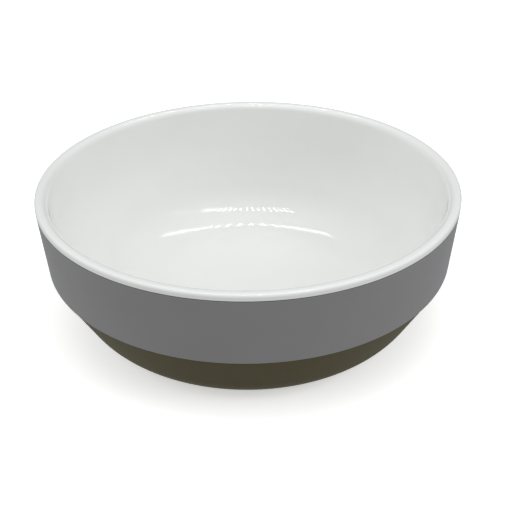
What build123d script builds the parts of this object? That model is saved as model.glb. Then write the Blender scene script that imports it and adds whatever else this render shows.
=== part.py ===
from build123d import *

import math
import os

# A round serving bowl for chips or dip, built as a twin wall, in millimetres.
# A glossy inner bowl carries the rim. A straight sleeve closes the upper half of its outside
# and a rounded shell closes the lower half, with a seal in each seam. A soft ring let into
# the shell's underside is what the bowl stands on.
# Origin: centre of the foot, on the table. +Z is up.

# Overall sizes
RIM_DIAMETER = 220.0
OVERALL_HEIGHT = 77.6

# Rim of the inner bowl
RIM_WIDTH = 6.2
RIM_FACE = 1.5  # upright outer face, below its rounding
RIM_OUTER_ROUND = 1.5
RIM_INNER_ROUND = 3.8

# Inner bowl
BOWL_WALL = 2.8
BOWL_FLOOR = 3.0
BOWL_KNEE = 60.0  # inside radius where the wall starts to lean in
BOWL_CORNER = 38.0  # inside radius between wall and floor, where the wall has room for it
FLAT_LEFT = 1.0  # straight wall left between the two

# Outer sleeve
BAND_HEIGHT = 35.4
BAND_TAPER = 4.4  # degrees from upright, shared with the bowl's upper wall
BAND_LIP = 2.3  # what is left outside the rebate for the shell's spigot
BAND_TOP_ROUND = 0.3
BAND_FOOT_ROUND = 1.4

# Lower shell
SHELL_WALL = 2.4
SHELL_FLOOR = 2.8
SHELL_LEAN = 28.8  # degrees from upright, shared with the bowl's lower wall
SHELL_CORNER = 29.0  # outside radius between side and bottom
SHELL_STEP = 0.9  # how far its shoulder stands in from the sleeve
SPIGOT_HEIGHT = 3.0
SPIGOT_WALL = 1.2

# Foot ring
FOOT_INSET = 4.5  # flat underside left outside the ring
FOOT_WIDTH = 6.0
FOOT_STAND = 0.8  # how far it stands out of the shell
FOOT_SEAT = 1.4  # depth of its groove
FOOT_ROUND = 0.5

# Seals, and the bead that snaps the bowl into the sleeve
SEAL_THICKNESS = 0.4
SEAL_INSET = 0.15
BEAD_RADIUS = 0.5
BEAD_DROP = 6.0

# Clearances
WALL_GAP = 1.4  # air between the bowl and the shell
FIT = 0.1
BEAD_FIT = 0.08

# Heights that follow
RIM_BOTTOM = OVERALL_HEIGHT - RIM_OUTER_ROUND - RIM_FACE
BAND_TOP = RIM_BOTTOM - SEAL_THICKNESS
BAND_BOTTOM = BAND_TOP - BAND_HEIGHT
BEAD_LEVEL = BAND_TOP - BEAD_DROP
SHELL_TOP = BAND_BOTTOM - FIT
SPIGOT_TOP = SHELL_TOP + SPIGOT_HEIGHT
REBATE_TOP = SPIGOT_TOP + SEAL_THICKNESS + FIT
SHELL_BOTTOM = FOOT_STAND
SHELL_FLOOR_TOP = SHELL_BOTTOM + SHELL_FLOOR
BOWL_BOTTOM = SHELL_FLOOR_TOP + WALL_GAP
BOWL_FLOOR_TOP = BOWL_BOTTOM + BOWL_FLOOR

# Slopes and radii that follow
TAPER = math.radians(BAND_TAPER)
LEAN = math.radians(SHELL_LEAN)
RIM_RADIUS = RIM_DIAMETER / 2
RIM_INSIDE = RIM_RADIUS - RIM_WIDTH
BAND_FOOT = RIM_RADIUS - BAND_HEIGHT * math.tan(TAPER)
REBATE_RADIUS = BAND_FOOT - BAND_LIP
SPIGOT_RADIUS = REBATE_RADIUS - FIT
SPIGOT_INSIDE = SPIGOT_RADIUS - SPIGOT_WALL
SHELL_SHOULDER = BAND_FOOT - SHELL_STEP


def upper_wall(z, depth):
    """Radius at height z of a face that lies depth behind the bowl's upper inside wall."""
    return RIM_INSIDE - (OVERALL_HEIGHT - z) * math.tan(TAPER) + depth / math.cos(TAPER)


def lower_wall(z, depth):
    """Radius at height z of a face that lies depth inside the shell's leaning outside."""
    return SHELL_SHOULDER - (SHELL_TOP - z) * math.tan(LEAN) - depth / math.cos(LEAN)


def knee(upper_depth, lower_depth):
    """Point (radius, height) where an upper and a lower wall face meet."""
    gap = upper_wall(0, upper_depth) - lower_wall(0, lower_depth)
    z = gap / (math.tan(LEAN) - math.tan(TAPER))
    return (upper_wall(z, upper_depth), z)


def corner(section, point):
    """Corner of a section nearest to a point (radius, height)."""
    return section.vertices().sort_by_distance(point)[0]


def largest_corner(wall_foot, wall_top, top_round):
    """Largest rounding at the foot of a leaning wall that leaves its top its own rounding."""
    taken = top_round * math.tan((LEAN - TAPER) / 2)
    left = math.dist(wall_foot, wall_top) - taken
    return (left - FLAT_LEFT) / math.tan((math.pi / 2 - LEAN) / 2)


os.makedirs("parts", exist_ok=True)

# Inner bowl: rim, wall and floor in one moulding, with the snap bead round its outside
bowl_outside_depth = SHELL_WALL + WALL_GAP
bowl_inside_depth = bowl_outside_depth + BOWL_WALL
inside_corner = (lower_wall(BOWL_FLOOR_TOP, bowl_inside_depth), BOWL_FLOOR_TOP)
inside_knee = knee(0, bowl_inside_depth)
inside_rim = (RIM_INSIDE, OVERALL_HEIGHT)
outside_rim = (RIM_RADIUS, OVERALL_HEIGHT)
outside_knee = knee(BOWL_WALL, bowl_outside_depth)
outside_corner = (lower_wall(BOWL_BOTTOM, bowl_outside_depth), BOWL_BOTTOM)
bowl_corner = min(BOWL_CORNER, largest_corner(inside_corner, inside_knee, BOWL_KNEE))

with BuildPart() as inner_bowl:
    with BuildSketch(Plane.XZ) as bowl_section:
        with BuildLine():
            Polyline(
                (0, BOWL_FLOOR_TOP),
                inside_corner,
                inside_knee,
                inside_rim,
                outside_rim,
                (RIM_RADIUS, RIM_BOTTOM),
                (upper_wall(RIM_BOTTOM, BOWL_WALL), RIM_BOTTOM),
                outside_knee,
                outside_corner,
                (0, BOWL_BOTTOM),
                close=True,
            )
        make_face()
        fillet(corner(bowl_section, inside_corner), bowl_corner)
        fillet(corner(bowl_section, inside_knee), BOWL_KNEE)
        fillet(corner(bowl_section, inside_rim), RIM_INNER_ROUND)
        fillet(corner(bowl_section, outside_rim), RIM_OUTER_ROUND)
        fillet(corner(bowl_section, outside_knee), BOWL_KNEE + BOWL_WALL)
        fillet(corner(bowl_section, outside_corner), bowl_corner + BOWL_WALL)
        with Locations((upper_wall(BEAD_LEVEL, BOWL_WALL), BEAD_LEVEL)):
            Circle(BEAD_RADIUS)
    revolve(axis=Axis.Z)

inner_bowl.part.label = "inner_bowl"
export_step(inner_bowl.part, "parts/inner_bowl.step")

# Rim seal: flat ring between the rim's underside and the top of the sleeve
with BuildPart() as rim_seal:
    with BuildSketch(Plane.XY.offset(BAND_TOP)):
        Circle(RIM_RADIUS - SEAL_INSET)
        Circle(upper_wall(RIM_BOTTOM, BOWL_WALL) + FIT, mode=Mode.SUBTRACT)
    extrude(amount=SEAL_THICKNESS)

rim_seal.part.label = "rim_seal"
export_step(rim_seal.part, "parts/rim_seal.step")

# Outer sleeve: tapered ring round the bowl, grooved for the bead and rebated for the spigot
sleeve_top = (RIM_RADIUS, BAND_TOP)
sleeve_foot = (BAND_FOOT, BAND_BOTTOM)

with BuildPart() as outer_sleeve:
    with BuildSketch(Plane.XZ) as sleeve_section:
        with BuildLine():
            Polyline(
                sleeve_top,
                sleeve_foot,
                (REBATE_RADIUS, BAND_BOTTOM),
                (REBATE_RADIUS, REBATE_TOP),
                (upper_wall(REBATE_TOP, BOWL_WALL) + FIT, REBATE_TOP),
                (upper_wall(BAND_TOP, BOWL_WALL) + FIT, BAND_TOP),
                close=True,
            )
        make_face()
        fillet(corner(sleeve_section, sleeve_top), BAND_TOP_ROUND)
        fillet(corner(sleeve_section, sleeve_foot), BAND_FOOT_ROUND)
        with Locations((upper_wall(BEAD_LEVEL, BOWL_WALL), BEAD_LEVEL)):
            Circle(BEAD_RADIUS + BEAD_FIT, mode=Mode.SUBTRACT)
    revolve(axis=Axis.Z)

outer_sleeve.part.label = "outer_sleeve"
export_step(outer_sleeve.part, "parts/outer_sleeve.step")

# Sleeve seal: flat ring on the top edge of the spigot
with BuildPart() as sleeve_seal:
    with BuildSketch(Plane.XY.offset(SPIGOT_TOP)):
        Circle(SPIGOT_RADIUS)
        Circle(SPIGOT_INSIDE, mode=Mode.SUBTRACT)
    extrude(amount=SEAL_THICKNESS)

sleeve_seal.part.label = "sleeve_seal"
export_step(sleeve_seal.part, "parts/sleeve_seal.step")

# Lower shell: rounded base with a spigot that plugs into the sleeve and a groove underneath
shell_corner = (lower_wall(SHELL_BOTTOM, 0), SHELL_BOTTOM)
shell_inside_corner = (lower_wall(SHELL_FLOOR_TOP, SHELL_WALL), SHELL_FLOOR_TOP)
shell_inside_top = SHELL_TOP - SHELL_WALL
corner_height = SHELL_BOTTOM + SHELL_CORNER
flat_radius = lower_wall(corner_height, SHELL_CORNER)
groove_outside = flat_radius - FOOT_INSET
groove_inside = groove_outside - FOOT_WIDTH

with BuildPart() as lower_shell:
    with BuildSketch(Plane.XZ) as shell_section:
        with BuildLine():
            Polyline(
                (0, SHELL_BOTTOM),
                shell_corner,
                (SHELL_SHOULDER, SHELL_TOP),
                (SPIGOT_RADIUS, SHELL_TOP),
                (SPIGOT_RADIUS, SPIGOT_TOP),
                (SPIGOT_INSIDE, SPIGOT_TOP),
                (SPIGOT_INSIDE, SHELL_TOP),
                (lower_wall(shell_inside_top, SHELL_WALL), shell_inside_top),
                shell_inside_corner,
                (0, SHELL_FLOOR_TOP),
                close=True,
            )
        make_face()
        fillet(corner(shell_section, shell_corner), SHELL_CORNER)
        fillet(corner(shell_section, shell_inside_corner), SHELL_CORNER - SHELL_WALL)
    revolve(axis=Axis.Z)
    with BuildSketch(Plane.XY.offset(SHELL_BOTTOM)):
        Circle(groove_outside)
        Circle(groove_inside, mode=Mode.SUBTRACT)
    extrude(amount=FOOT_SEAT, mode=Mode.SUBTRACT)

lower_shell.part.label = "lower_shell"
export_step(lower_shell.part, "parts/lower_shell.step")

# Foot ring: soft ring pressed into the groove, with its two lower edges rounded
with BuildPart() as foot_ring:
    with BuildSketch():
        Circle(groove_outside - FIT)
        Circle(groove_inside + FIT, mode=Mode.SUBTRACT)
    extrude(amount=FOOT_STAND + FOOT_SEAT)
    fillet(foot_ring.edges().group_by(Axis.Z)[0], FOOT_ROUND)

foot_ring.part.label = "foot_ring"
export_step(foot_ring.part, "parts/foot_ring.step")
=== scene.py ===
import math

import bpy
from mathutils import Matrix, Vector


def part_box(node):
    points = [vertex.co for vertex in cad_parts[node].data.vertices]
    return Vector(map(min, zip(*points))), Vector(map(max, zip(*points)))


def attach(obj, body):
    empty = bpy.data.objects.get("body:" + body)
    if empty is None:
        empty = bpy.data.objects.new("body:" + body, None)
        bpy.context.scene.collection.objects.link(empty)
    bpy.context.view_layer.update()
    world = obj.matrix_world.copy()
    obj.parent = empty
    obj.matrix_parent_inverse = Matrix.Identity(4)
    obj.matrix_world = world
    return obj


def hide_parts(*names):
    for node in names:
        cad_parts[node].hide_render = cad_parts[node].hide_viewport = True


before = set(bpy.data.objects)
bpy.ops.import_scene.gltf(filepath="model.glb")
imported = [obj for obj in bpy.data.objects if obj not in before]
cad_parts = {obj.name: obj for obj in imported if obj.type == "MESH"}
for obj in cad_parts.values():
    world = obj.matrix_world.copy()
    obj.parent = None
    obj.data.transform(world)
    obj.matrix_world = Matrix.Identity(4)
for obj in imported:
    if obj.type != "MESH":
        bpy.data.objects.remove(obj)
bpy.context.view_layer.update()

# A twin-wall serving bowl: glossy white bowl moulding, grey sleeve, olive base shell, the
# seals in its two seams, and the soft ring it stands on. Lengths are in metres.

MM = 0.001


# ---------------------------------------------------------------- small helpers

def linear(hex_colour):
    """Linear RGBA for an sRGB hex colour."""
    channels = [int(hex_colour[i:i + 2], 16) / 255 for i in (1, 3, 5)]
    rgb = [c / 12.92 if c <= 0.04045 else ((c + 0.055) / 1.055) ** 2.4 for c in channels]
    return (*rgb, 1.0)


def add_node(tree, kind, settings=None, inputs=None):
    """Adds a node. Settings are its properties. An input is a value, or a socket to link."""
    node = tree.nodes.new(kind)
    for name, value in (settings or {}).items():
        setattr(node, name, value)
    for name, value in (inputs or {}).items():
        if isinstance(value, bpy.types.NodeSocket):
            tree.links.new(value, node.inputs[name])
        else:
            node.inputs[name].default_value = value
    return node


# ---------------------------------------------------------------- sections

ARC_STEP = math.radians(9)
ARC_CHORD = 1.2 * MM
HOLD = 0.3 * MM  # a point this near each end of a straight run keeps its shading straight
LONGEST_RUN = 6 * MM


def rounded_corner(before, here, after):
    """Points that round the corner at here, which is (radius, height, rounding)."""
    at = Vector(here[:2])
    rounding = here[2]
    if rounding == 0:
        return [at]
    into = (at - Vector(before[:2])).normalized()
    out = (Vector(after[:2]) - at).normalized()
    turn = math.acos(max(-1.0, min(1.0, into.dot(out))))
    side = 1 if into.x * out.y - into.y * out.x > 0 else -1
    start = at - into * rounding * math.tan(turn / 2)
    centre = start + Vector((-into.y, into.x)) * rounding * side
    spoke = start - centre
    steps = math.ceil(max(turn / ARC_STEP, rounding * turn / ARC_CHORD))
    points = []
    for k in range(steps + 1):
        angle = side * turn * k / steps
        c, s = math.cos(angle), math.sin(angle)
        points.append(centre + Vector((spoke.x * c - spoke.y * s, spoke.x * s + spoke.y * c)))
    return points


def section_points(corners, closed):
    """Points along a section, from its rounded corners and the straight runs between them."""
    count = len(corners)
    path = []
    for i, here in enumerate(corners):
        if closed or 0 < i < count - 1:
            path += rounded_corner(corners[i - 1], here, corners[(i + 1) % count])
        else:
            path.append(Vector(here[:2]))
    if closed:
        path.append(path[0].copy())
    points = [path[0]]
    for a, b in zip(path, path[1:]):
        length = (b - a).length
        if length > 4 * HOLD:
            inner = length - 2 * HOLD
            runs = math.ceil(inner / LONGEST_RUN)
            stops = [HOLD + inner * k / runs for k in range(runs + 1)]
            points += [a.lerp(b, stop / length) for stop in stops]
        points.append(b)
    return points


# ---------------------------------------------------------------- turning tree

STEPS_ROUND = 360
WELD_DISTANCE = 0.002 * MM


def turning_tree():
    """Geometry Nodes that turn a section, given as a row of points, round the bowl's axis."""
    tree = bpy.data.node_groups.new("turn_section", "GeometryNodeTree")
    interface = tree.interface
    interface.new_socket("Section", in_out="INPUT", socket_type="NodeSocketGeometry")
    steps = interface.new_socket("Steps Round", in_out="INPUT", socket_type="NodeSocketInt")
    steps.default_value = STEPS_ROUND
    steps.min_value = 12
    weld = interface.new_socket("Weld Distance", in_out="INPUT", socket_type="NodeSocketFloat")
    weld.default_value = WELD_DISTANCE
    interface.new_socket("Material", in_out="INPUT", socket_type="NodeSocketMaterial")
    interface.new_socket("Geometry", in_out="OUTPUT", socket_type="NodeSocketGeometry")
    group = add_node(tree, "NodeGroupInput").outputs

    # A grid with a row for each section point, and one column more than the steps round
    size = add_node(tree, "GeometryNodeAttributeDomainSize", {"component": "MESH"}, {
        "Geometry": group["Section"]})
    rows = size.outputs["Point Count"]
    columns = add_node(tree, "FunctionNodeIntegerMath", {"operation": "ADD"}, {
        0: group["Steps Round"], 1: 1})
    sheet = add_node(tree, "GeometryNodeMeshGrid", None, {
        "Vertices X": columns.outputs[0], "Vertices Y": rows})

    # Each grid point takes its section point, turned by the angle of its column
    index = add_node(tree, "GeometryNodeInputIndex").outputs["Index"]
    row = add_node(tree, "FunctionNodeIntegerMath", {"operation": "MODULO"}, {0: index, 1: rows})
    column = add_node(tree, "FunctionNodeIntegerMath", {"operation": "DIVIDE_FLOOR"}, {
        0: index, 1: rows})
    place = add_node(tree, "GeometryNodeInputPosition")
    sample = add_node(tree, "GeometryNodeSampleIndex", {"data_type": "FLOAT_VECTOR"}, {
        "Geometry": group["Section"], "Value": place.outputs["Position"], "Index": row.outputs[0]})
    point = add_node(tree, "ShaderNodeSeparateXYZ", None, {"Vector": sample.outputs["Value"]}).outputs
    share = add_node(tree, "ShaderNodeMath", {"operation": "DIVIDE"}, {
        0: column.outputs[0], 1: group["Steps Round"]})
    angle = add_node(tree, "ShaderNodeMath", {"operation": "MULTIPLY"}, {
        0: share.outputs[0], 1: 2 * math.pi})
    turned = {"Z": point["Z"]}
    for axis, operation in (("X", "COSINE"), ("Y", "SINE")):
        spoke = add_node(tree, "ShaderNodeMath", {"operation": operation}, {0: angle.outputs[0]})
        along = add_node(tree, "ShaderNodeMath", {"operation": "MULTIPLY"}, {
            0: point["X"], 1: spoke.outputs[0]})
        turned[axis] = along.outputs[0]
    target = add_node(tree, "ShaderNodeCombineXYZ", None, turned)
    moved = add_node(tree, "GeometryNodeSetPosition", None, {
        "Geometry": sheet.outputs["Mesh"], "Position": target.outputs["Vector"]})

    # The seam and the poles are welded, and the faces turned outwards
    welded = add_node(tree, "GeometryNodeMergeByDistance", None, {
        "Geometry": moved.outputs["Geometry"], "Distance": group["Weld Distance"]})
    outward = add_node(tree, "GeometryNodeFlipFaces", None, {"Mesh": welded.outputs["Geometry"]})
    smooth = add_node(tree, "GeometryNodeSetShadeSmooth", None, {"Geometry": outward.outputs["Mesh"]})
    real = add_node(tree, "GeometryNodeRealizeInstances", None, {"Geometry": smooth.outputs["Geometry"]})
    painted = add_node(tree, "GeometryNodeSetMaterial", None, {
        "Geometry": real.outputs["Geometry"], "Material": group["Material"]})
    add_node(tree, "NodeGroupOutput", None, {"Geometry": painted.outputs["Geometry"]})
    return tree


TURNING = turning_tree()


def turned_piece(name, node, material, corners, closed=False):
    """A piece turned from a section, in place of a CAD node. Its corners have the solid on their right."""
    points = section_points(corners, closed)
    links = [(i, i + 1) for i in range(len(points) - 1)]
    section = bpy.data.meshes.new(name + "_section")
    section.from_pydata([(p.x, 0, p.y) for p in points], links, [])
    maker = bpy.data.objects.new(name + "_maker", section)
    bpy.context.scene.collection.objects.link(maker)
    modifier = maker.modifiers.new("turn", "NODES")
    modifier.node_group = TURNING
    sockets = {s.name: s.identifier for s in TURNING.interface.items_tree if s.in_out == "INPUT"}
    modifier[sockets["Steps Round"]] = STEPS_ROUND
    modifier[sockets["Material"]] = material
    shown = maker.evaluated_get(bpy.context.evaluated_depsgraph_get())
    mesh = bpy.data.meshes.new_from_object(shown)
    mesh.name = name
    mesh.materials.clear()
    mesh.materials.append(material)
    maker.modifiers.remove(modifier)
    bpy.data.objects.remove(maker)
    piece = bpy.data.objects.new(name, mesh)
    bpy.context.scene.collection.objects.link(piece)
    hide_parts(node)
    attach(piece, "root")


# ---------------------------------------------------------------- materials

WHITE_DARK, WHITE_LIGHT = "#e9e9e6", "#eeeeeb"
GREY_DARK, GREY_LIGHT = "#868585", "#8a8989"
OLIVE_DARK, OLIVE_LIGHT = "#4f492f", "#534d33"
SEAL_DARK, SEAL_LIGHT = "#43392f", "#55493c"
RUBBER_DARK, RUBBER_LIGHT = "#393830", "#4a493e"
NOISE_LOW, NOISE_HIGH = 0.3, 0.7  # where most of a noise texture's values lie


def new_material(name):
    """An empty material with its node tree, its shader and the coordinates of its piece."""
    material = bpy.data.materials.new(name)
    material.use_nodes = True
    tree = material.node_tree
    tree.nodes.clear()
    shader = add_node(tree, "ShaderNodeBsdfPrincipled")
    add_node(tree, "ShaderNodeOutputMaterial", None, {"Surface": shader.outputs["BSDF"]})
    where = add_node(tree, "ShaderNodeTexCoord").outputs["Object"]
    return material, tree, shader, where


def add_tint(tree, shader, where, dark, light, patch, detail):
    """Pigment that drifts a little between two colours, over patches of a given size."""
    drift = add_node(tree, "ShaderNodeTexNoise", None, {
        "Vector": where, "Scale": 1 / patch, "Detail": detail})
    tint = add_node(tree, "ShaderNodeMix", {"data_type": "RGBA"}, {
        "Factor": drift.outputs["Fac"], "A": linear(dark), "B": linear(light)})
    tree.links.new(tint.outputs["Result"], shader.inputs["Base Color"])


def add_skin(tree, shader, where, smooth, rough, grain, detail):
    """Roughness that changes from smooth to rough over a grain of a given size. Returns the
    grain's height."""
    texture = add_node(tree, "ShaderNodeTexNoise", None, {
        "Vector": where, "Scale": 1 / grain, "Detail": detail})
    spread = add_node(tree, "ShaderNodeMapRange", None, {
        "Value": texture.outputs["Fac"], "From Min": NOISE_LOW, "From Max": NOISE_HIGH,
        "To Min": smooth, "To Max": rough})
    tree.links.new(spread.outputs["Result"], shader.inputs["Roughness"])
    return texture.outputs["Fac"]


def gloss_white():
    """Melamine, compression moulded against polished steel: hard clear gloss, very slightly warm
    white. Fine orange peel and a faint slow waviness bend its highlights."""
    material, tree, shader, where = new_material("melamine_gloss_white")
    add_tint(tree, shader, where, WHITE_DARK, WHITE_LIGHT, patch=45 * MM, detail=2.0)
    add_skin(tree, shader, where, 0.03, 0.05, grain=14 * MM, detail=3.0)
    relief = {}  # the orange peel first, and the waviness over it
    for size, depth in ((2.2 * MM, 0.0006 * MM), (26 * MM, 0.012 * MM)):
        height = add_node(tree, "ShaderNodeTexNoise", None, {
            "Vector": where, "Scale": 1 / size, "Detail": 1.0})
        bump = add_node(tree, "ShaderNodeBump", None, {
            "Height": height.outputs["Fac"], "Distance": depth, "Strength": 1.0, **relief})
        relief = {"Normal": bump.outputs["Normal"]}
    tree.links.new(relief["Normal"], shader.inputs["Normal"])
    shader.inputs["IOR"].default_value = 1.5
    return material


def satin_grey():
    """ABS, injection moulded in a fine spark-eroded tool: even mid grey with a soft sheen. The
    grain scatters most of its reflection. It is drawn coarser than a real one, so that it shows."""
    material, tree, shader, where = new_material("abs_satin_grey")
    add_tint(tree, shader, where, GREY_DARK, GREY_LIGHT, patch=18 * MM, detail=4.0)
    grain = add_skin(tree, shader, where, 0.40, 0.50, grain=0.55 * MM, detail=2.0)
    bump = add_node(tree, "ShaderNodeBump", None, {
        "Height": grain, "Distance": 0.006 * MM, "Strength": 1.0})
    tree.links.new(bump.outputs["Normal"], shader.inputs["Normal"])
    shader.inputs["IOR"].default_value = 1.52
    shader.inputs["Specular IOR Level"].default_value = 0.12
    return material


def matte_olive():
    """Polypropylene, injection moulded with a matte grain: olive, dry to the eye. The grain is
    drawn coarser than a real one, so that it shows."""
    material, tree, shader, where = new_material("polypropylene_matte_olive")
    add_tint(tree, shader, where, OLIVE_DARK, OLIVE_LIGHT, patch=16 * MM, detail=4.0)
    grain = add_skin(tree, shader, where, 0.50, 0.62, grain=0.6 * MM, detail=2.0)
    bump = add_node(tree, "ShaderNodeBump", None, {
        "Height": grain, "Distance": 0.01 * MM, "Strength": 1.0})
    tree.links.new(bump.outputs["Normal"], shader.inputs["Normal"])
    shader.inputs["IOR"].default_value = 1.49
    shader.inputs["Specular IOR Level"].default_value = 0.08
    return material


def seal_brown():
    """Silicone rubber, cut from sheet: brown, with a dull skin that picks up fine dust."""
    material, tree, shader, where = new_material("silicone_seal_brown")
    add_tint(tree, shader, where, SEAL_DARK, SEAL_LIGHT, patch=1.5 * MM, detail=3.0)
    add_skin(tree, shader, where, 0.62, 0.75, grain=0.8 * MM, detail=2.0)
    return material


def foot_rubber():
    """Thermoplastic rubber, moulded: dark olive grey, dull and slightly mottled where it rubs. Its
    grain is drawn coarser than a real one, so that it shows."""
    material, tree, shader, where = new_material("rubber_foot_dark")
    add_tint(tree, shader, where, RUBBER_DARK, RUBBER_LIGHT, patch=6 * MM, detail=4.0)
    grain = add_skin(tree, shader, where, 0.66, 0.82, grain=0.7 * MM, detail=3.0)
    bump = add_node(tree, "ShaderNodeBump", None, {
        "Height": grain, "Distance": 0.03 * MM, "Strength": 1.0})
    tree.links.new(bump.outputs["Normal"], shader.inputs["Normal"])
    return material


WHITE = gloss_white()
GREY = satin_grey()
OLIVE = matte_olive()
SEAL = seal_brown()
RUBBER = foot_rubber()


# ---------------------------------------------------------------- sizes

# Slopes, from upright
TAPER = math.radians(4.4)
LEAN = math.radians(28.8)

# Walls and clearances
RIM_WIDTH = 6.2 * MM
BOWL_WALL = 2.8 * MM
BOWL_FLOOR_WALL = 3.0 * MM
SHELL_WALL = 2.4 * MM
SHELL_FLOOR_WALL = 2.8 * MM
SPIGOT_WALL = 1.2 * MM
FOOT_WIDTH = 5.8 * MM
WALL_GAP = 1.4 * MM
FIT = 0.1 * MM
SEAL_INSET = 0.15 * MM

# Roundings
BOWL_CORNER = 38 * MM
BOWL_KNEE = 60 * MM
RIM_INNER_ROUND = 3.8 * MM
RIM_OUTER_ROUND = 1.5 * MM
RIM_LOWER_EDGE = 0.1 * MM
SLEEVE_TOP_ROUND = 0.3 * MM
SLEEVE_FOOT_ROUND = 1.4 * MM
SHELL_CORNER = 29 * MM
SHOULDER_ROUND = 0.3 * MM
GROOVE_EDGE = 0.15 * MM
FOOT_ROUND = 0.5 * MM
SEAL_EDGE = 0.1 * MM

# The moulding gate, a shallow dimple in the middle of the shell's underside
GATE_RADIUS = 4 * MM
GATE_DEPTH = 0.3 * MM
GATE_EDGE = 0.2 * MM

# Radii and heights of the nodes
RIM_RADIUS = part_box("inner_bowl")[1].x
RIM_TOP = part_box("inner_bowl")[1].z
BOWL_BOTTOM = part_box("inner_bowl")[0].z
RIM_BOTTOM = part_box("rim_seal")[1].z
SLEEVE_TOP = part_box("outer_sleeve")[1].z
SLEEVE_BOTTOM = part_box("outer_sleeve")[0].z
SHELL_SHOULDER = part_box("lower_shell")[1].x
SPIGOT_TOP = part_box("lower_shell")[1].z
SHELL_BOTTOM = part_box("lower_shell")[0].z
SPIGOT_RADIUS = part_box("sleeve_seal")[1].x
SEAL_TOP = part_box("sleeve_seal")[1].z
FOOT_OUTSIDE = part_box("foot_ring")[1].x
FOOT_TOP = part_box("foot_ring")[1].z
FOOT_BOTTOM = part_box("foot_ring")[0].z

# What follows from them
BOWL_FLOOR = BOWL_BOTTOM + BOWL_FLOOR_WALL
SHELL_FLOOR = SHELL_BOTTOM + SHELL_FLOOR_WALL
SHELL_TOP = SLEEVE_BOTTOM - FIT
SPIGOT_INSIDE = SPIGOT_RADIUS - SPIGOT_WALL
FOOT_INSIDE = FOOT_OUTSIDE - FOOT_WIDTH


def upper_wall(z, depth):
    """Radius at height z of a face that lies depth behind the bowl's upper inside wall."""
    return RIM_RADIUS - RIM_WIDTH - (RIM_TOP - z) * math.tan(TAPER) + depth / math.cos(TAPER)


def lower_wall(z, depth):
    """Radius at height z of a face that lies depth inside the shell's leaning outside."""
    return SHELL_SHOULDER - (SHELL_TOP - z) * math.tan(LEAN) - depth / math.cos(LEAN)


def knee(upper_depth, lower_depth):
    """Point (radius, height) where an upper and a lower wall face meet."""
    gap = upper_wall(0, upper_depth) - lower_wall(0, lower_depth)
    z = gap / (math.tan(LEAN) - math.tan(TAPER))
    return upper_wall(z, upper_depth), z


# ---------------------------------------------------------------- pieces

# A corner of a section is (radius, height, rounding)

def make_bowl():
    """The bowl moulding: floor, wall and rim."""
    outside = SHELL_WALL + WALL_GAP
    inside = outside + BOWL_WALL
    turned_piece("bowl_moulding", "inner_bowl", WHITE, [
        (0, BOWL_FLOOR, 0),
        (lower_wall(BOWL_FLOOR, inside), BOWL_FLOOR, BOWL_CORNER),
        (*knee(0, inside), BOWL_KNEE),
        (RIM_RADIUS - RIM_WIDTH, RIM_TOP, RIM_INNER_ROUND),
        (RIM_RADIUS, RIM_TOP, RIM_OUTER_ROUND),
        (RIM_RADIUS, RIM_BOTTOM, RIM_LOWER_EDGE),
        (upper_wall(RIM_BOTTOM, BOWL_WALL), RIM_BOTTOM, 0),
        (*knee(BOWL_WALL, outside), BOWL_KNEE + BOWL_WALL),
        (lower_wall(BOWL_BOTTOM, outside), BOWL_BOTTOM, BOWL_CORNER + BOWL_WALL),
        (0, BOWL_BOTTOM, 0)])


def make_sleeve():
    """The tapered sleeve, with the rebate for the shell's spigot and its seal."""
    foot_radius = RIM_RADIUS - (SLEEVE_TOP - SLEEVE_BOTTOM) * math.tan(TAPER)
    rebate_radius = SPIGOT_RADIUS + FIT
    rebate_top = SEAL_TOP + FIT
    turned_piece("sleeve", "outer_sleeve", GREY, [
        (upper_wall(SLEEVE_TOP, BOWL_WALL) + FIT, SLEEVE_TOP, 0),
        (RIM_RADIUS, SLEEVE_TOP, SLEEVE_TOP_ROUND),
        (foot_radius, SLEEVE_BOTTOM, SLEEVE_FOOT_ROUND),
        (rebate_radius, SLEEVE_BOTTOM, 0),
        (rebate_radius, rebate_top, 0),
        (upper_wall(rebate_top, BOWL_WALL) + FIT, rebate_top, 0)], closed=True)


def make_shell():
    """The base shell, with its spigot, the groove for the foot ring and the gate mark."""
    inside_top = SHELL_TOP - SHELL_WALL
    groove_out = FOOT_OUTSIDE + FIT
    groove_in = FOOT_INSIDE - FIT
    turned_piece("base_shell", "lower_shell", OLIVE, [
        (0, SHELL_FLOOR, 0),
        (lower_wall(SHELL_FLOOR, SHELL_WALL), SHELL_FLOOR, SHELL_CORNER - SHELL_WALL),
        (lower_wall(inside_top, SHELL_WALL), inside_top, 0),
        (SPIGOT_INSIDE, SHELL_TOP, 0),
        (SPIGOT_INSIDE, SPIGOT_TOP, 0),
        (SPIGOT_RADIUS, SPIGOT_TOP, 0),
        (SPIGOT_RADIUS, SHELL_TOP, 0),
        (SHELL_SHOULDER, SHELL_TOP, SHOULDER_ROUND),
        (lower_wall(SHELL_BOTTOM, 0), SHELL_BOTTOM, SHELL_CORNER),
        (groove_out, SHELL_BOTTOM, GROOVE_EDGE),
        (groove_out, FOOT_TOP, 0),
        (groove_in, FOOT_TOP, 0),
        (groove_in, SHELL_BOTTOM, GROOVE_EDGE),
        (GATE_RADIUS, SHELL_BOTTOM, GATE_EDGE),
        (GATE_RADIUS - GATE_DEPTH, SHELL_BOTTOM + GATE_DEPTH, GATE_EDGE),
        (0, SHELL_BOTTOM + GATE_DEPTH, 0)])


def make_foot_ring():
    """The soft ring in the shell's underside."""
    turned_piece("foot", "foot_ring", RUBBER, [
        (FOOT_INSIDE, FOOT_TOP, 0),
        (FOOT_OUTSIDE, FOOT_TOP, 0),
        (FOOT_OUTSIDE, FOOT_BOTTOM, FOOT_ROUND),
        (FOOT_INSIDE, FOOT_BOTTOM, FOOT_ROUND)], closed=True)


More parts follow.
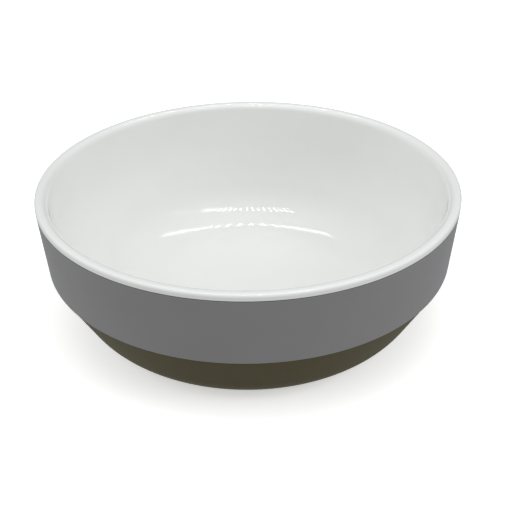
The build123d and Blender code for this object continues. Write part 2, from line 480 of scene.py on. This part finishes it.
def make_seals():
    """The two flat rings: under the rim, and on top of the shell's spigot."""
    rim_seal_inside = upper_wall(RIM_BOTTOM, BOWL_WALL) + FIT
    turned_piece("rim_gasket", "rim_seal", SEAL, [
        (rim_seal_inside, RIM_BOTTOM, 0),
        (RIM_RADIUS - SEAL_INSET, RIM_BOTTOM, SEAL_EDGE),
        (RIM_RADIUS - SEAL_INSET, SLEEVE_TOP, SEAL_EDGE),
        (rim_seal_inside, SLEEVE_TOP, 0)], closed=True)
    turned_piece("sleeve_gasket", "sleeve_seal", SEAL, [
        (SPIGOT_INSIDE, SEAL_TOP, 0),
        (SPIGOT_RADIUS, SEAL_TOP, SEAL_EDGE),
        (SPIGOT_RADIUS, SPIGOT_TOP, SEAL_EDGE),
        (SPIGOT_INSIDE, SPIGOT_TOP, 0)], closed=True)


make_bowl()
make_sleeve()
make_shell()
make_foot_ring()
make_seals()


# ---------------------------------------------------------------- stage, light and camera

FLOOR_COLOUR = "#f8f7f5"
FLOOR_GLOW = 0.45
FLOOR_HALF = 6.0
FLOOR_TOP = -0.05 * MM  # clear of the foot's flat underside

LAMP_COLOUR = (0.965, 0.98, 1.0)
TENT_LOBES = [  # axis, side of it, how fast the glow falls off, its peak
    ("Z", 1, 3.0, 1.64),
    ("Y", -1, 2.0, 0.18),
    ("X", 1, 2.0, 0.36),
    ("X", -1, 2.0, 0.91)]
TABLE_EVEN, TABLE_DEEP = 0.45, 0.25  # glow from below: at the horizon, and added straight down
BACKDROP = 0.9

BOX_SIZE = (0.7, 0.9)
BOX_ASIDE, BOX_FORWARD, BOX_HEIGHT = 1.2, 0.55, 0.8
BOX_AIM = Vector((0, 0, 0.05))
LEFT_POWER, RIGHT_POWER = 3.1, 7.2

# Rows of lamps over the bowl: ends (x, y), number of lamps, size of each (x, y), strength
STRIP_HEIGHT = 1.0
STRIPS = {
    "front_strip": ((0.37, -0.14), (-0.31, -0.08), 18, (0.009, 0.13), 18),
    "front_glow_left": ((0.70, -0.10), (0.43, -0.12), 20, (0.0135, 0.10), 1.5),
    "front_glow_right": ((-0.35, -0.03), (-0.85, 0.03), 37, (0.0135, 0.10), 1.0),
    "back_strip": ((0.38, 0.46), (-0.30, 0.57), 22, (0.008, 0.11), 18)}

SENSOR_WIDTH, LENS = 36, 62.02
CAMERA_RISE = math.radians(26.7)
CAMERA_DISTANCE = 4.236 * RIM_RADIUS
CAMERA_ROLL = math.radians(-0.79)
CAMERA_TILT = math.radians(-4.64)
CAMERA_PAN = math.radians(-0.51)


def make_floor():
    """A wide pale floor, quite matte. It lights neither the bowl nor its gloss."""
    mesh = bpy.data.meshes.new("floor")
    sides = ((-1, -1), (1, -1), (1, 1), (-1, 1))
    corners = [(x * FLOOR_HALF, y * FLOOR_HALF, FLOOR_TOP) for x, y in sides]
    mesh.from_pydata(corners, [], [(0, 1, 2, 3)])
    floor = bpy.data.objects.new("floor", mesh)
    bpy.context.scene.collection.objects.link(floor)
    material, _, shader, _ = new_material("floor_pale")
    shader.inputs["Base Color"].default_value = linear(FLOOR_COLOUR)
    shader.inputs["Roughness"].default_value = 1.0
    shader.inputs["Specular IOR Level"].default_value = 0.0
    shader.inputs["Emission Color"].default_value = linear("#ffffff")
    shader.inputs["Emission Strength"].default_value = FLOOR_GLOW
    mesh.materials.append(material)
    floor.visible_diffuse = False
    floor.visible_glossy = False


def make_world():
    """A white tent, brightest overhead and then on its left, over a dimmer table. The camera sees
    only an even backdrop."""
    world = bpy.data.worlds.new("studio")
    world.use_nodes = True
    tree = world.node_tree
    tree.nodes.clear()
    where = add_node(tree, "ShaderNodeTexCoord").outputs["Generated"]
    facing = add_node(tree, "ShaderNodeSeparateXYZ", None, {"Vector": where}).outputs
    tent = 0.0
    for axis, side, fall, peak in TENT_LOBES:
        toward = add_node(tree, "ShaderNodeMath", {"operation": "MULTIPLY", "use_clamp": True}, {
            0: facing[axis], 1: side})
        fading = add_node(tree, "ShaderNodeMath", {"operation": "POWER"}, {
            0: toward.outputs[0], 1: fall})
        lobe = add_node(tree, "ShaderNodeMath", {"operation": "MULTIPLY_ADD"}, {
            0: fading.outputs[0], 1: peak, 2: tent})
        tent = lobe.outputs[0]
    table = add_node(tree, "ShaderNodeMath", {"operation": "MULTIPLY_ADD"}, {
        0: facing["Z"], 1: -TABLE_DEEP, 2: TABLE_EVEN})
    above = add_node(tree, "ShaderNodeMath", {"operation": "GREATER_THAN"}, {0: facing["Z"], 1: 0.0})
    glow = add_node(tree, "ShaderNodeMix", {"data_type": "FLOAT"}, {
        "Factor": above.outputs[0], "A": table.outputs[0], "B": tent})
    direct = add_node(tree, "ShaderNodeLightPath").outputs["Is Camera Ray"]
    strength = add_node(tree, "ShaderNodeMix", {"data_type": "FLOAT"}, {
        "Factor": direct, "A": glow.outputs["Result"], "B": BACKDROP})
    sky = add_node(tree, "ShaderNodeBackground", None, {
        "Color": (*LAMP_COLOUR, 1.0), "Strength": strength.outputs["Result"]})
    add_node(tree, "ShaderNodeOutputWorld", None, {"Surface": sky.outputs["Background"]})
    bpy.context.scene.world = world


def make_soft_box(name, side, power):
    """A large soft box beside the camera, on the side given, turned to the bowl."""
    data = bpy.data.lights.new(name, "AREA")
    data.shape = "RECTANGLE"
    data.size, data.size_y = BOX_SIZE
    data.energy = power
    data.color = LAMP_COLOUR
    lamp = bpy.data.objects.new(name, data)
    place = Vector((side * BOX_ASIDE, -BOX_FORWARD, BOX_HEIGHT))
    lamp.location = place
    lamp.rotation_euler = (BOX_AIM - place).to_track_quat("-Z", "Y").to_euler()
    bpy.context.scene.collection.objects.link(lamp)
    lamp.visible_camera = False
    lamp.visible_glossy = False


def make_strip(name, start, end, count, size, strength):
    """A row of narrow lamps overhead, seen only as the sparkle that it leaves in the gloss."""
    corners, faces = [], []
    for k in range(count):
        at = Vector(start).lerp(Vector(end), (k + 0.5) / count)
        faces.append(tuple(range(len(corners), len(corners) + 4)))
        for x, y in ((-1, -1), (-1, 1), (1, 1), (1, -1)):
            corners.append((at.x + x * size[0] / 2, at.y + y * size[1] / 2, STRIP_HEIGHT))
    mesh = bpy.data.meshes.new(name)
    mesh.from_pydata(corners, [], faces)
    strip = bpy.data.objects.new(name, mesh)
    bpy.context.scene.collection.objects.link(strip)
    material, _, shader, _ = new_material(name + "_glow")
    shader.inputs["Emission Color"].default_value = linear("#ffffff")
    shader.inputs["Emission Strength"].default_value = strength
    mesh.materials.append(material)
    strip.visible_camera = False
    strip.visible_diffuse = False


def make_camera():
    """A short telephoto a little under half a metre away, looking down at the rim from the front."""
    data = bpy.data.cameras.new("camera")
    data.sensor_width = SENSOR_WIDTH
    data.lens = LENS
    camera = bpy.data.objects.new("camera", data)
    bpy.context.scene.collection.objects.link(camera)
    bpy.context.scene.camera = camera
    seam = Vector((0, 0, SLEEVE_TOP))
    back = Vector((0, -math.cos(CAMERA_RISE), math.sin(CAMERA_RISE)))
    facing = Matrix.Rotation(math.pi / 2 - CAMERA_RISE, 4, "X")
    roll = Matrix.Rotation(CAMERA_ROLL, 4, "Z")
    tilt = Matrix.Rotation(CAMERA_TILT, 4, "X")
    pan = Matrix.Rotation(CAMERA_PAN, 4, "Y")
    camera.matrix_world = Matrix.Translation(seam + back * CAMERA_DISTANCE) @ facing @ roll @ tilt @ pan


make_floor()
make_world()
make_soft_box("left_box", -1, LEFT_POWER)
make_soft_box("right_box", 1, RIGHT_POWER)
for strip_name, strip_sizes in STRIPS.items():
    make_strip(strip_name, *strip_sizes)
make_camera()
bpy.context.scene.view_settings.view_transform = "Standard"
